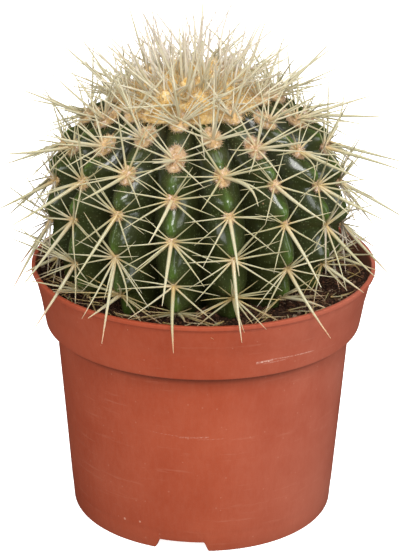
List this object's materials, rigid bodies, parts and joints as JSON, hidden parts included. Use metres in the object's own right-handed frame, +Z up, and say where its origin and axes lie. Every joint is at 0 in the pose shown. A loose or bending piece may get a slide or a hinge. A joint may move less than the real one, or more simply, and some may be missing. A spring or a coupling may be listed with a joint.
{
  "type": "potted round cactus",
  "caption": "Round ribbed cactus with star-shaped groups of straw-coloured spines, growing in a tapered plastic nursery pot with a flared collar.",
  "frame": {"origin": "on the ground, at the middle of the pot's foot", "axes": "+Z up, along the pot's axis; -Y is the front, the side that the plant leans to"},
  "size_m": [0.14, 0.14, 0.178],
  "materials": {
    "terracotta_plastic": "satin",
    "peat": "matte",
    "cactus_flesh": "satin",
    "crown_felt": "matte"
  },
  "bodies": {
    "root": {"pot": "terracotta_plastic", "soil": "peat", "cactus": "cactus_flesh", "crown": "crown_felt"}
  },
  "joints": []
}
